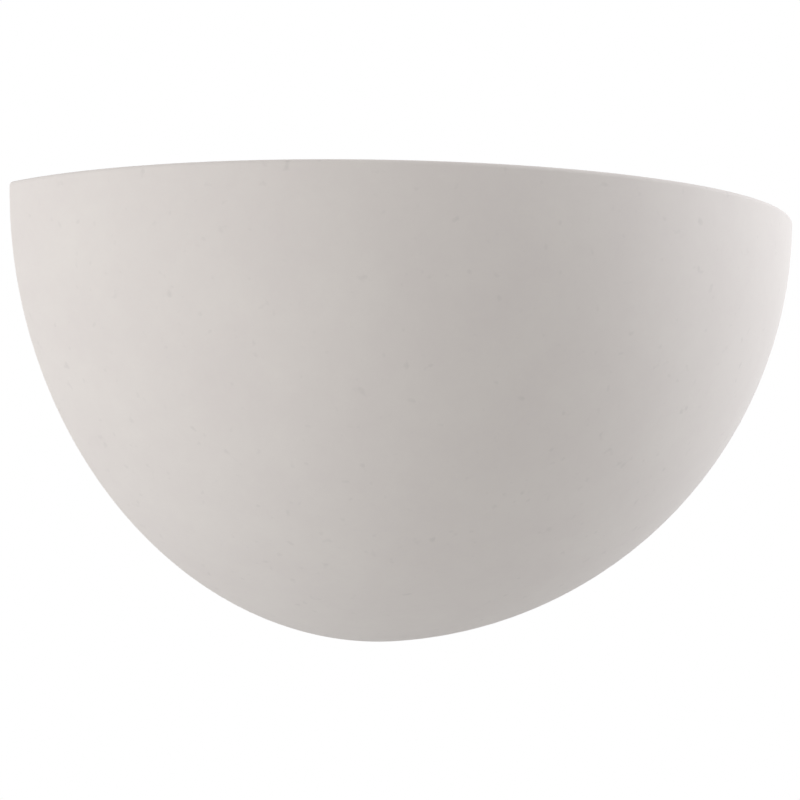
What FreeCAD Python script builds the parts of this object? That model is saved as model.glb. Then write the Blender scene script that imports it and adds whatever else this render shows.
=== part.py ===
import FreeCAD, Part
import math
import os

# Quarter-sphere ceramic wall uplighter with two capsule lamps.
# Frame: +X to the right along the wall, -Y out of the wall into the room, +Z up, millimetres.
# The origin lies on the wall, midway between the two wall screws.

V = FreeCAD.Vector
LEFT, RIGHT = -1, 1
SIDES = {"left": LEFT, "right": RIGHT}
OVERSHOOT = 1.0            # how far a cutting shape reaches past what it cuts

# ------------------------------------------------------------------ ceramic bowl
BOWL_RADIUS = 165.0        # outside of the quarter sphere: half the width, the depth and the projection
BOWL_WALL = 7.0
RIM_ABOVE_SCREWS = 45.0    # level of the open rim above the line of wall screws
FLANGE_WIDTH = 37.0        # back flange, from the outside of the bowl inwards
FLANGE_THICKNESS = 9.0
COVE_RADIUS = 6.0          # inside corner between flange and wall
FLANGE_ROUNDING = 2.0
RIM_ROUNDING = 1.5
REBATE_CLEARANCE = 1.0     # round the arm that lies in the back of the flange
REBATE_RUN_IN = 5.0        # past the edge of the opening, so that the recess is open there

# ------------------------------------------------------------------ mounting plate
SHEET = 1.5
PLATE_BEND = 1.5           # inside radius of each fold
PANEL_STANDOFF = 5.0       # hollow behind the raised middle panel
PANEL_MARGIN = 6.0         # panel beyond what is fixed on it, at the sides and the top
PANEL_UNDERCUT = 3.0       # panel's lower edge above the top of the lampholder brackets
ARM_HEIGHT = 24.0
ARM_PAST_STUD = 12.0
JOGGLE_RUN = 6.0           # length over which the arm steps back to the wall
CORNER_RADIUS = 5.0
FIXING_SPACING = 190.0     # between the wall screws
FIXING_SLOT_WIDTH = 5.0
FIXING_SLOT_LENGTH = 14.0
STUD_INSET = 21.75         # from the outside of the bowl to the axis of a bowl stud
STUD_RADIUS = 2.0
STUD_LENGTH = 23.0         # from the wall to the tip
STUD_HEAD_RADIUS = 3.2
STUD_HEAD_THICKNESS = 0.9
STUD_TIP_CHAMFER = 0.5
PAD_THICKNESS = 1.0
PAD_MARGIN = 2.0           # pad inside the edge of the arm
PAD_HOLE_CLEARANCE = 0.5

# ------------------------------------------------------------------ bowl fixings
BUSH_BODY_WALL = 1.5
BUSH_FLANGE_RADIUS = 6.5
BUSH_FLANGE_THICKNESS = 1.5
SLIDE_CLEARANCE = 0.1      # bush on stud, bush in ceramic, captive washer on stud
WASHER_RADIUS = 6.0
WASHER_THICKNESS = 1.0
WASHER_ROUNDING = 0.3
NUT_RADIUS = 6.5
NUT_HEIGHT = 8.0
NUT_COLLAR_RADIUS = 4.8
NUT_COLLAR_HEIGHT = 1.6
NUT_CLEARANCE = 0.05
NUT_CHAMFER = 0.7
KNURL_COUNT = 36
KNURL_DEPTH = 0.45
KNURL_LAND = 0.4           # share of the knurl's pitch that stays flat

# ------------------------------------------------------------------ cable entry
GROMMET_BORE_RADIUS = 4.0
GROMMET_NECK_RADIUS = 7.0
GROMMET_FLANGE_RADIUS = 9.0
GROMMET_LIP = 2.0          # thickness of each lip, in front of and behind the panel
GROMMET_ROUNDING = 1.0
GROMMET_ABOVE_BLOCK = 6.0  # room for the supply wires to turn down into the block

# ------------------------------------------------------------------ terminal block
POLE_NAMES = ("live", "earth", "neutral")   # from left to right
POLE_PITCH = 10.6
POLE_WIDTH = 7.6
POLE_DEPTH = 9.5
POLE_ROUNDING = 1.2
BLOCK_CENTRE_HEIGHT = -4.0
BLOCK_LENGTH = 18.0        # along the conductors, which stand upright
BLOCK_BASE = 4.0
BLOCK_BASE_INSET = 1.0     # base short of the poles all round
CONDUCTOR_DEPTH = 5.3      # from the panel to the axes of the poles
TOWER_RADIUS = 3.2
TOWER_WALL = 1.1
TOWER_HEIGHT = 3.0
INSERT_RADIUS = 2.5
INSERT_BORE = 1.9
INSERT_END_GAP = 1.0       # insert short of the end of the block
CLAMP_SCREW_RADIUS = 1.5
CLAMP_SCREW_SPACING = 9.0
CLAMP_SCREW_LENGTH = 5.0
CLAMP_SLOT_WIDTH = 0.6
CLAMP_SLOT_DEPTH = 0.9
OPEN_CLAMP_GAP = 0.2       # tip of an open clamp screw outside the bore of the insert
WEB_SCREW_RADIUS = 1.25
WEB_SCREW_HEAD_RADIUS = 2.1
WEB_SCREW_HEAD = 1.5
THREAD_FIT = 0.05          # radial, between a plain shank and its tapped hole

# ------------------------------------------------------------------ screws
SCREW_M4_RADIUS = 2.0
SCREW_M4_HEAD_RADIUS = 4.0
SCREW_M4_HEAD = 2.6
SCREW_M4_LENGTH = 6.0
SCREW_M3_RADIUS = 1.5
SCREW_M3_HEAD_RADIUS = 2.75
SCREW_M3_HEAD = 1.9
NUT_M3_ACROSS_FLATS = 5.5
NUT_M3_HEIGHT = 2.4
SCREW_HOLE_CLEARANCE = 0.25
THREAD_SHOWING = 1.6       # screw end beyond its nut
RECESS_WIDTH = 0.9
RECESS_DEPTH = 1.1
WEB_RECESS_DEPTH = 0.8
RECESS_REACH = 0.62        # share of the head's radius
PAN_ROUNDING = 0.45        # share of the head's height
POINT_CHAMFER = 0.3        # share of the shank's radius

# ------------------------------------------------------------------ earth stud
EARTH_STUD_OFFSET = 30.0
EARTH_STUD_HEIGHT = 6.0
EARTH_STUD_LENGTH = 9.0
RING_RADIUS = 4.0
RING_THICKNESS = 0.8
RING_NECK_WIDTH = 4.0
RING_NECK_LENGTH = 3.0
BARREL_LENGTH = 5.0
BARREL_WALL = 0.4
BARREL_CLOSED_END = 1.0
STAR_WASHER_RADIUS = 3.9
STAR_WASHER_THICKNESS = 0.6
STAR_TOOTH = 0.9
STAR_TEETH = 10
EARTH_NUT_ACROSS_FLATS = 7.0
EARTH_NUT_HEIGHT = 3.2

# ------------------------------------------------------------------ lampholders
LAMP_SPACING = 110.0       # between the two lamp axes
LAMP_REACH = 65.0          # wall to lamp axes
LAMP_BELOW_RIM = 18.0      # tip of the lamp below the open rim
BRACKET_WIDTH = 18.0
BRACKET_LEG = 27.0         # height of the leg on the panel
BRACKET_LEG_SCREWS = 12.0  # between the two screws in the leg
BRACKET_PAST_HOLDER = 4.0
BRACKET_NOSE_RADIUS = 6.0
HOLDER_LENGTH = 36.0       # lug tip to lug tip, along Y
HOLDER_WIDTH = 13.0
HOLDER_LUG_SPACING = 28.0
HOLDER_LUG = 5.0
HOLDER_BASE = 4.0
HOLDER_TOWER_LENGTH = 21.0
HOLDER_TOWER = 15.0        # height of the tower above the lugs
HOLDER_END_ROUNDING = 5.2
HOLDER_ROUNDING = 3.0
HOLDER_TOP_ROUNDING = 0.8
SOCKET_DEPTH = 10.0
SOCKET_CLEARANCE = 0.4
SOCKET_ROUNDING = 1.0
CONTACT_THICKNESS = 0.4
CONTACT_WIDTH = 3.0
CONTACT_BEND = 0.1
CONTACT_GAP = 0.12         # beside the lamp pin on each side
CONTACT_BELOW_SOCKET = 1.0
CHAMBER_MARGIN = 0.6

# ------------------------------------------------------------------ capsule lamps
PIN_SPACING = 9.0
PIN_WIRE_RADIUS = 0.38
PIN_LOOP_WIDTH = 2.2
PIN_LENGTH = 6.0
PIN_IN_GLASS = 3.0
PINCH_WIDTH = 13.6
PINCH_THICKNESS = 4.2
PINCH_HEIGHT = 14.0
PINCH_ROUNDING = 1.0
CAPSULE_RADIUS = 6.7
CAPSULE_GLASS = 1.2
CAPSULE_START = 17.2       # where the straight tube begins, above the seat
CAPSULE_STRAIGHT = 17.0
TIP_RADIUS = 1.6
TIP_END_RADIUS = 0.8
TIP_HEIGHT = 2.0
TIP_ROOT = 0.5             # of the tip inside the dome
FOIL_WIDTH = 2.0
FOIL_THICKNESS = 0.3
FOIL_LENGTH = 4.8
INNER_WIRE_RADIUS = 0.3
INNER_WIRE_OFFSET = 3.6
LOWER_WIRE_KNEE = 4.0      # bends of the support wires, below and above the coil
LOWER_WIRE_TURN = 2.5
UPPER_WIRE_KNEE = 1.5
UPPER_WIRE_TURN = 3.2
COIL_RADIUS = 0.9
COIL_START = 20.0          # above the seat
COIL_LENGTH = 12.5

# ------------------------------------------------------------------ internal leads
LEAD_RADIUS = 1.1
EARTH_LEAD_RADIUS = 1.3
LEAD_HOLE_CLEARANCE = 0.15
BRACKET_LEAD_CLEARANCE = 0.7
FERRULE_RADIUS = 0.75
FERRULE_LENGTH = 6.0
TWIN_OFFSET = 1.12         # from the axis of a pole to each of the two leads clamped in it
LEADS_APART = 3.6          # between the two leads that cross under the terminal block
CORNER_SHARE = 0.45        # of the shorter run, taken up by the arc at a corner

# Corners of the leads on their way from a contact to the terminal block. A knee is measured from the
# contact: inwards, back to the wall and down. A sag or a turn is measured from the middle of the light,
# from the wall, and down from the block.
NEAR_DROP = 16.5
NEAR_KNEE_IN = 9.0
NEAR_KNEE_BACK = 14.5
NEAR_KNEE_DOWN = 20.0
NEAR_SAG_OUT = 28.0
NEAR_SAG_OFF_WALL = 24.0
NEAR_SAG_DOWN = 28.0
NEAR_TURN_OUT = 15.0
NEAR_TURN_OFF_WALL = 14.5
NEAR_TURN_DOWN = 18.5
NEAR_RISE = 9.5
FAR_DROP = 22.0
FAR_KNEE_IN = 13.0
FAR_KNEE_BACK = 19.0
FAR_KNEE_DOWN = 27.5
FAR_SAG_OUT = 18.0
FAR_SAG_OFF_WALL = 28.0
FAR_SAG_DOWN = 36.0
FAR_TURN_PAST = 3.0        # past the middle, to the other side
FAR_TURN_OFF_WALL = 16.5
FAR_TURN_DOWN = 25.5
FAR_RISE = 13.5

# Corners of the earth lead: a knee and a turn beside and below its pole, then a turn below the barrel.
EARTH_LEAD_GAP = 0.3       # between the lead and the panel
EARTH_DROP = 6.5
EARTH_KNEE_OUT = 6.5
EARTH_KNEE_OFF_PANEL = 0.4
EARTH_KNEE_DOWN = 10.2
EARTH_TURN_OUT = 17.5
EARTH_TURN_DOWN = 11.2
EARTH_UPTURN_IN = 2.5
EARTH_UPTURN_DOWN = 12.0
EARTH_RISE = 4.0

# ------------------------------------------------------------------ places worked out from the sizes
RIM = RIM_ABOVE_SCREWS
PANEL_FRONT = -(PANEL_STANDOFF + SHEET)
STUD_X = math.sqrt((BOWL_RADIUS - STUD_INSET) ** 2 - RIM ** 2)
ARM_END = STUD_X + ARM_PAST_STUD
REBATE_DEPTH = SHEET + PAD_THICKNESS
FLANGE_INNER = BOWL_RADIUS - FLANGE_WIDTH
BUSH_BORE = STUD_RADIUS + SLIDE_CLEARANCE
BUSH_BODY_RADIUS = BUSH_BORE + BUSH_BODY_WALL
WASHER_BACK = -(FLANGE_THICKNESS + BUSH_FLANGE_THICKNESS)
NUT_BACK = WASHER_BACK - WASHER_THICKNESS

HOLDER_HEIGHT = HOLDER_BASE + HOLDER_LUG + HOLDER_TOWER
SEAT_IN_HOLDER = HOLDER_HEIGHT - SOCKET_DEPTH
LAMP_HEIGHT = CAPSULE_START + CAPSULE_STRAIGHT + CAPSULE_RADIUS + TIP_HEIGHT
BRACKET_TOP = RIM - LAMP_BELOW_RIM - LAMP_HEIGHT - SEAT_IN_HOLDER
LAMP_SEAT = BRACKET_TOP + SEAT_IN_HOLDER
CONTACT_FOOT = BRACKET_TOP + HOLDER_BASE
LAMP_X = LAMP_SPACING / 2

BLOCK_WIDTH = POLE_PITCH * len(POLE_NAMES)
BLOCK_TOP = BLOCK_CENTRE_HEIGHT + BLOCK_LENGTH / 2
BLOCK_BOTTOM = BLOCK_CENTRE_HEIGHT - BLOCK_LENGTH / 2
BLOCK_FRONT = PANEL_FRONT - POLE_DEPTH
CONDUCTOR_Y = PANEL_FRONT - CONDUCTOR_DEPTH
GROMMET_Z = BLOCK_TOP + GROMMET_ABOVE_BLOCK + GROMMET_FLANGE_RADIUS
PANEL_HALF = LAMP_X + BRACKET_WIDTH / 2 + PANEL_MARGIN
PANEL_TOP = GROMMET_Z + GROMMET_FLANGE_RADIUS + PANEL_MARGIN
PANEL_BOTTOM = BRACKET_TOP + PANEL_UNDERCUT


# ------------------------------------------------------------------ helpers
def block(x0, x1, y0, y1, z0, z1):
    """Box between two corners."""
    return Part.makeBox(x1 - x0, y1 - y0, z1 - z0, V(x0, y0, z0))


def rod(radius, start, end):
    """Solid cylinder from start to end."""
    axis = end - start
    return Part.makeCylinder(radius, axis.Length, start, axis)


def tube(outer, bore, start, end):
    """Hollow cylinder from start to end."""
    return rod(outer, start, end).cut(rod(bore, start, end))


def prism(points, direction):
    """Polygon pushed along a direction."""
    return Part.Face(Part.makePolygon(points + points[:1])).extrude(direction)


def turned(profile, centre, axis):
    """Closed profile of points turned once about an axis."""
    face = Part.Face(Part.makePolygon(profile + profile[:1]))
    return face.revolve(centre, axis, 360)


def edges_where(shape, test):
    """Edges that lie wholly where the test holds."""
    whole = [edge for edge in shape.Edges if not edge.Degenerated]
    return [edge for edge in whole if all(test(point) for point in edge.discretize(5))]


def rounded(shape, radius, test):
    """Shape with a fillet on the edges where the test holds."""
    return shape.makeFillet(radius, edges_where(shape, test))


def near(value, target):
    """True where two lengths agree to a hundredth of a millimetre."""
    return abs(value - target) < 0.01


def pointing(shape, point, direction):
    """Shape built along +Z, moved to a point with its Z axis turned to a direction."""
    shape.Placement = FreeCAD.Placement(point, FreeCAD.Rotation(V(0, 0, 1), direction))
    return shape


def mirrored(shape, side):
    """Shape built for the right-hand side, on the side asked for."""
    if side == RIGHT:
        return shape
    return shape.mirror(V(0, 0, 0), V(1, 0, 0))


def corner_arcs(points, radius_at):
    """For each inner point of a route: where its arc starts, its middle, and where it ends."""
    arcs = []
    for before, corner, after in zip(points, points[1:], points[2:]):
        back = (before - corner).normalize()
        ahead = (after - corner).normalize()
        half_turn = (math.pi - back.getAngle(ahead)) / 2
        radius = radius_at(before, corner, after, half_turn)
        reach = radius * math.tan(half_turn)
        inward = (back + ahead).normalize()
        sagitta = radius / math.cos(half_turn) - radius
        arcs.append((corner + back * reach, corner + inward * sagitta, corner + ahead * reach, radius))
    return arcs


def route_wire(points, radius_at):
    """Straight runs joined by tangent arcs."""
    arcs = corner_arcs(points, radius_at)
    edges = []
    start = points[0]
    for arc_start, arc_middle, arc_end, _ in arcs:
        edges.append(Part.LineSegment(start, arc_start).toShape())
        edges.append(Part.Arc(arc_start, arc_middle, arc_end).toShape())
        start = arc_end
    edges.append(Part.LineSegment(start, points[-1]).toShape())
    return Part.Wire(edges), [arc[3] for arc in arcs]


def widest_bend(before, corner, after, half_turn):
    """Radius of the largest arc that the two runs at a corner leave room for."""
    shorter = min((before - corner).Length, (after - corner).Length)
    return CORNER_SHARE * shorter / math.tan(half_turn)


def wire_along(points, radius, name="", bend=widest_bend):
    """Round wire or lead that follows a route."""
    route, radii = route_wire(points, bend)
    start = route.Edges[0].tangentAt(route.Edges[0].FirstParameter)
    section = Part.Wire(Part.makeCircle(radius, points[0], start))
    solid = route.makePipeShell([section], True, False)
    if name:
        share = solid.Volume / (math.pi * radius ** 2 * route.Length)
        bends = ", ".join(f"{r:.1f}" for r in radii)
        print(f"{name}: {route.Length:.1f} mm long, bend radii {bends}, volume share {share:.4f}")
    return solid


def folded_sheet(points, thickness, inside_radius, width):
    """Sheet folded along its middle line, pushed sideways by a width vector, half of it each way."""
    def bend(before, corner, after, half_turn):
        return inside_radius + thickness / 2

    arcs = corner_arcs(points, bend)
    sideways = V(width).normalize()
    stations = [points[0]]
    for arc_start, arc_middle, arc_end, _ in arcs:
        stations += [arc_start, arc_middle, arc_end]
    stations.append(points[-1])
    directions = []
    for index, arc in enumerate(arcs):
        ahead = (points[index + 1] - points[index]).normalize()
        after = (points[index + 2] - points[index + 1]).normalize()
        directions += [ahead, (ahead + after).normalize(), after]
    last = (points[-1] - points[-2]).normalize()
    first = (points[1] - points[0]).normalize()
    directions = [first] + directions + [last]
    faces = []
    for offset in (thickness / 2, -thickness / 2):
        side = []
        for point, direction in zip(stations, directions):
            side.append(point + sideways.cross(direction) * offset)
        faces.append(side)
    edges = []
    for side in faces:
        edges.append(Part.LineSegment(side[0], side[1]).toShape())
        for index in range(1, len(side) - 1, 3):
            edges.append(Part.Arc(side[index], side[index + 1], side[index + 2]).toShape())
            edges.append(Part.LineSegment(side[index + 2], side[index + 3]).toShape())
    edges.append(Part.LineSegment(faces[0][0], faces[1][0]).toShape())
    edges.append(Part.LineSegment(faces[0][-1], faces[1][-1]).toShape())
    outline = Part.Wire(Part.sortEdges(edges)[0])
    outline.translate(V(width) * -0.5)
    return Part.Face(outline).extrude(width)


def regular_polygon(sides, corner_radius, height):
    """Upright prism on a regular polygon."""
    points = []
    for index in range(sides):
        angle = 2 * math.pi * index / sides
        points.append(V(corner_radius * math.cos(angle), corner_radius * math.sin(angle), 0))
    return prism(points, V(0, 0, height))


def hex_nut(across_flats, height, bore):
    """Hexagon nut with chamfered corners, standing on z = 0."""
    corner = across_flats / math.sqrt(3)
    body = regular_polygon(6, corner, height)
    chamfer = corner - across_flats / 2
    limits = turned([V(0, 0, 0), V(across_flats / 2, 0, 0), V(corner, 0, chamfer / 2),
                     V(corner, 0, height - chamfer / 2), V(across_flats / 2, 0, height), V(0, 0, height)],
                    V(0, 0, 0), V(0, 0, 1))
    return body.common(limits).cut(rod(bore, V(0, 0, 0), V(0, 0, height)))


def pan_screw(radius, length, head_radius, head_height, recess_depth):
    """Pan-head screw with a cross recess: head above z = 0, shank below it."""
    head = rod(head_radius, V(0, 0, 0), V(0, 0, head_height))
    head = rounded(head, PAN_ROUNDING * head_height, lambda p: near(p.z, head_height))
    reach = RECESS_REACH * head_radius
    half = RECESS_WIDTH / 2
    floor = head_height - recess_depth
    top = head_height + OVERSHOOT
    across = block(-reach, reach, -half, half, floor, top)
    along = block(-half, half, -reach, reach, floor, top)
    head = head.cut([across, along])
    shank = rod(radius, V(0, 0, -length), V(0, 0, 0))
    shank = shank.makeChamfer(POINT_CHAMFER * radius, edges_where(shank, lambda p: near(p.z, -length)))
    return head.fuse(shank)


def both_sides(build):
    """Compound of the same solid on the right and, mirrored, on the left."""
    shape = build()
    return Part.makeCompound([mirrored(shape, LEFT), shape])


# ------------------------------------------------------------------ ceramic bowl
def ball(radius):
    """Ball on the rim's centre, its seam and poles turned out of the quarter that is kept."""
    turn = FreeCAD.Rotation(V(0, 1, 1), V(1, 0, 0), V(0, 1, -1), "ZXY")
    sphere = Part.makeSphere(radius)
    sphere.Placement = FreeCAD.Placement(V(0, 0, RIM), turn)
    return sphere


def half_ball(radius, back):
    """Part of the ball in front of a plane parallel to the wall."""
    past = radius + OVERSHOOT
    return ball(radius).common(block(-past, past, -past, back, RIM - past, RIM + past))


def bowl_cavity():
    """The hollow: inside of the ball in front of the flange, with a cove where the two meet."""
    hollow = half_ball(BOWL_RADIUS - BOWL_WALL, -FLANGE_THICKNESS)
    return rounded(hollow, COVE_RADIUS, lambda p: near(p.y, -FLANGE_THICKNESS))


def bowl_rebate():
    """Shallow recess in the back of the flange that drops over an arm of the plate."""
    half = ARM_HEIGHT / 2 + REBATE_CLEARANCE
    end = ARM_END + REBATE_CLEARANCE
    start = math.sqrt(FLANGE_INNER ** 2 - (RIM + half) ** 2) - REBATE_RUN_IN
    return block(start, end, -REBATE_DEPTH, OVERSHOOT, -half, half)


def stud_hole():
    """Hole in the flange for a bush."""
    front = -FLANGE_THICKNESS - OVERSHOOT
    return rod(BUSH_BODY_RADIUS + SLIDE_CLEARANCE, V(STUD_X, front, 0), V(STUD_X, OVERSHOOT, 0))


def ceramic_bowl():
    """Slip-cast quarter ball, open at the top, with a flange that lies on the wall."""
    reach = BOWL_RADIUS
    opening = rod(FLANGE_INNER, V(0, -FLANGE_THICKNESS - COVE_RADIUS, RIM), V(0, OVERSHOOT, RIM))
    ware = half_ball(reach, 0).cut(bowl_cavity()).cut(opening)

    def on_turned_edge(p):
        from_axis = math.hypot(p.x, p.z - RIM)
        at_back = near(p.y, 0) and (near(from_axis, reach) or near(from_axis, FLANGE_INNER))
        return at_back or (near(p.y, -FLANGE_THICKNESS) and near(from_axis, FLANGE_INNER))

    ware = rounded(ware, FLANGE_ROUNDING, on_turned_edge)
    past = reach + OVERSHOOT
    ware = ware.common(block(-past, past, -past, OVERSHOOT, RIM - past, RIM))
    ware = rounded(ware, RIM_ROUNDING, lambda p: near(p.z, RIM))
    for side in SIDES.values():
        ware = ware.cut(mirrored(bowl_rebate(), side)).cut(mirrored(stud_hole(), side))
    return ware


# ------------------------------------------------------------------ mounting plate
def plate_panel():
    """Raised middle panel with its top and bottom edges folded back to the wall."""
    middle = PANEL_FRONT + SHEET / 2
    half = SHEET / 2
    line = [V(0, 0, PANEL_BOTTOM + half), V(0, middle, PANEL_BOTTOM + half),
            V(0, middle, PANEL_TOP - half), V(0, 0, PANEL_TOP - half)]
    return folded_sheet(line, SHEET, PLATE_BEND, V(2 * PANEL_HALF, 0, 0))


def plate_arm():
    """Arm that steps back from the panel to the wall and reaches out under the flange."""
    middle = PANEL_FRONT + SHEET / 2
    start = PANEL_HALF - 2 * CORNER_RADIUS
    line = [V(start, middle, 0), V(PANEL_HALF, middle, 0),
            V(PANEL_HALF + JOGGLE_RUN, -SHEET / 2, 0), V(ARM_END, -SHEET / 2, 0)]
    arm = folded_sheet(line, SHEET, PLATE_BEND, V(0, 0, ARM_HEIGHT))
    return rounded(arm, CORNER_RADIUS, lambda p: near(p.x, ARM_END) and near(abs(p.z), ARM_HEIGHT / 2))


def fixing_slot():
    """Level slot for a wall screw."""
    centre = FIXING_SPACING / 2
    half_run = (FIXING_SLOT_LENGTH - FIXING_SLOT_WIDTH) / 2
    radius = FIXING_SLOT_WIDTH / 2
    front = -PANEL_STANDOFF - 2 * SHEET
    slot = block(centre - half_run, centre + half_run, front, OVERSHOOT, -radius, radius)
    for end in (centre - half_run, centre + half_run):
        slot = slot.fuse(rod(radius, V(end, front, 0), V(end, OVERSHOOT, 0)))
    return slot


def bowl_stud():
    """Stud clinched in the arm, its head flush with the arm's back."""
    shank = rod(STUD_RADIUS, V(STUD_X, -STUD_LENGTH, 0), V(STUD_X, 0, 0))
    shank = shank.makeChamfer(STUD_TIP_CHAMFER, edges_where(shank, lambda p: near(p.y, -STUD_LENGTH)))
    head = rod(STUD_HEAD_RADIUS, V(STUD_X, -STUD_HEAD_THICKNESS, 0), V(STUD_X, 0, 0))
    return shank.fuse(head)


def bracket_screw_heights():
    """Heights of the two screws that hold a lampholder bracket."""
    middle = BRACKET_TOP + (BRACKET_LEG + SHEET) / 2
    return (middle - BRACKET_LEG_SCREWS / 2, middle + BRACKET_LEG_SCREWS / 2)


def web_screw_places():
    """X of the two screws that hold the terminal block, in the webs between its poles."""
    return (-POLE_PITCH / 2, POLE_PITCH / 2)


def panel_hole(radius, x, z):
    """Round hole through the panel."""
    return rod(radius, V(x, PANEL_FRONT - OVERSHOOT, z), V(x, PANEL_FRONT + SHEET + OVERSHOOT, z))


def mounting_plate():
    plate = plate_panel()
    for side in SIDES.values():
        plate = plate.fuse(mirrored(plate_arm(), side))
    plate = plate.removeSplitter()
    cuts = [panel_hole(GROMMET_NECK_RADIUS, 0, GROMMET_Z)]
    cuts.append(panel_hole(SCREW_M4_RADIUS + THREAD_FIT, EARTH_STUD_OFFSET, EARTH_STUD_HEIGHT))
    for x in web_screw_places():
        cuts.append(panel_hole(WEB_SCREW_RADIUS + THREAD_FIT, x, BLOCK_CENTRE_HEIGHT))
    for side in SIDES.values():
        cuts.append(mirrored(fixing_slot(), side))
        cuts.append(mirrored(bowl_stud(), side))
        for z in bracket_screw_heights():
            cuts.append(panel_hole(SCREW_M4_RADIUS + THREAD_FIT, side * LAMP_X, z))
    return plate.cut(cuts)


def bowl_studs():
    return both_sides(bowl_stud)


def arm_pads():
    """Rubber pads between the arms and the ceramic."""
    def pad():
        half = ARM_HEIGHT / 2 - PAD_MARGIN
        start = 2 * STUD_X - ARM_END + PAD_MARGIN
        sheet = block(start, ARM_END - PAD_MARGIN, -SHEET - PAD_THICKNESS, -SHEET, -half, half)
        hole = rod(STUD_RADIUS + PAD_HOLE_CLEARANCE, V(STUD_X, -STUD_LENGTH, 0), V(STUD_X, 0, 0))
        end = ARM_END - PAD_MARGIN

        def at_corner(p):
            return near(abs(p.z), half) and (near(p.x, start) or near(p.x, end))

        return rounded(sheet, PAD_MARGIN, at_corner).cut(hole)

    return both_sides(pad)


# ------------------------------------------------------------------ bowl fixings
def stud_bush():
    """Shouldered rubber bush that keeps the ceramic off the stud."""
    front = -FLANGE_THICKNESS
    body = rod(BUSH_BODY_RADIUS, V(STUD_X, front, 0), V(STUD_X, -REBATE_DEPTH, 0))
    collar = rod(BUSH_FLANGE_RADIUS, V(STUD_X, front - BUSH_FLANGE_THICKNESS, 0), V(STUD_X, front, 0))
    bore = rod(BUSH_BORE, V(STUD_X, -STUD_LENGTH, 0), V(STUD_X, 0, 0))
    return body.fuse(collar).cut(bore)


def captive_washer():
    back = V(STUD_X, WASHER_BACK, 0)
    front = V(STUD_X, NUT_BACK, 0)
    washer = tube(WASHER_RADIUS, BUSH_BORE, front, back)

    def on_front_rim(p):
        return near(math.hypot(p.x - STUD_X, p.z), WASHER_RADIUS) and near(p.y, NUT_BACK)

    return rounded(washer, WASHER_ROUNDING, on_front_rim)


def knurled_nut():
    """Thumb nut with a plain collar and straight knurling."""
    points = []
    pitch = 2 * math.pi / KNURL_COUNT
    half_land = KNURL_LAND * pitch / 2
    for index in range(KNURL_COUNT):
        middle = index * pitch
        valley = NUT_RADIUS - KNURL_DEPTH
        for angle, radius in ((middle - half_land, NUT_RADIUS), (middle + half_land, NUT_RADIUS),
                              (middle + pitch / 2, valley)):
            points.append(V(radius * math.cos(angle), radius * math.sin(angle), 0))
    body = prism(points, V(0, 0, NUT_HEIGHT))
    limits = turned([V(0, 0, 0), V(NUT_COLLAR_RADIUS, 0, 0), V(NUT_COLLAR_RADIUS, 0, NUT_COLLAR_HEIGHT),
                     V(NUT_RADIUS - NUT_CHAMFER, 0, NUT_COLLAR_HEIGHT),
                     V(NUT_RADIUS, 0, NUT_COLLAR_HEIGHT + NUT_CHAMFER),
                     V(NUT_RADIUS, 0, NUT_HEIGHT - NUT_CHAMFER), V(NUT_RADIUS - NUT_CHAMFER, 0, NUT_HEIGHT),
                     V(0, 0, NUT_HEIGHT)], V(0, 0, 0), V(0, 0, 1))
    bore = rod(STUD_RADIUS + NUT_CLEARANCE, V(0, 0, -OVERSHOOT), V(0, 0, NUT_HEIGHT + OVERSHOOT))
    nut = body.common(limits).cut(bore)
    return pointing(nut, V(STUD_X, NUT_BACK, 0), V(0, -1, 0))


# ------------------------------------------------------------------ cable entry
def cable_grommet():
    """Rubber grommet with a lip each side of the panel."""
    front = PANEL_FRONT - GROMMET_LIP
    back = PANEL_FRONT + SHEET + GROMMET_LIP
    neck = rod(GROMMET_NECK_RADIUS, V(0, front, GROMMET_Z), V(0, back, GROMMET_Z))
    front_lip = rod(GROMMET_FLANGE_RADIUS, V(0, front, GROMMET_Z), V(0, PANEL_FRONT, GROMMET_Z))
    front_lip = rounded(front_lip, GROMMET_ROUNDING, lambda p: near(p.y, front))
    back_lip = rod(GROMMET_FLANGE_RADIUS, V(0, PANEL_FRONT + SHEET, GROMMET_Z), V(0, back, GROMMET_Z))
    bore = rod(GROMMET_BORE_RADIUS, V(0, front - OVERSHOOT, GROMMET_Z), V(0, back + OVERSHOOT, GROMMET_Z))
    return neck.fuse([front_lip, back_lip]).cut(bore)


# ------------------------------------------------------------------ terminal block
def pole_x(name):
    """X of the axis of a pole."""
    return (POLE_NAMES.index(name) - (len(POLE_NAMES) - 1) / 2) * POLE_PITCH


def clamp_screw_places(end):
    """Where the clamp screws at one end stand, +1 for the supply at the top, -1 for the leads below."""
    z = BLOCK_CENTRE_HEIGHT + end * CLAMP_SCREW_SPACING / 2
    return [V(pole_x(name), CONDUCTOR_Y, z) for name in POLE_NAMES]


def along_poles(radius, end_gap):
    """Upright cylinders along the three poles, short of the ends of the block by a gap."""
    low = BLOCK_BOTTOM + end_gap
    high = BLOCK_TOP - end_gap
    return [rod(radius, V(pole_x(name), CONDUCTOR_Y, low), V(pole_x(name), CONDUCTOR_Y, high))
            for name in POLE_NAMES]


def terminal_pole(name):
    """One moulded pole with a tower over each of its two clamp screws."""
    x = pole_x(name)
    half = POLE_WIDTH / 2
    pole = block(x - half, x + half, BLOCK_FRONT, PANEL_FRONT, BLOCK_BOTTOM, BLOCK_TOP)
    return rounded(pole, POLE_ROUNDING, lambda p: near(p.y, BLOCK_FRONT) and near(abs(p.x - x), half))


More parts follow.
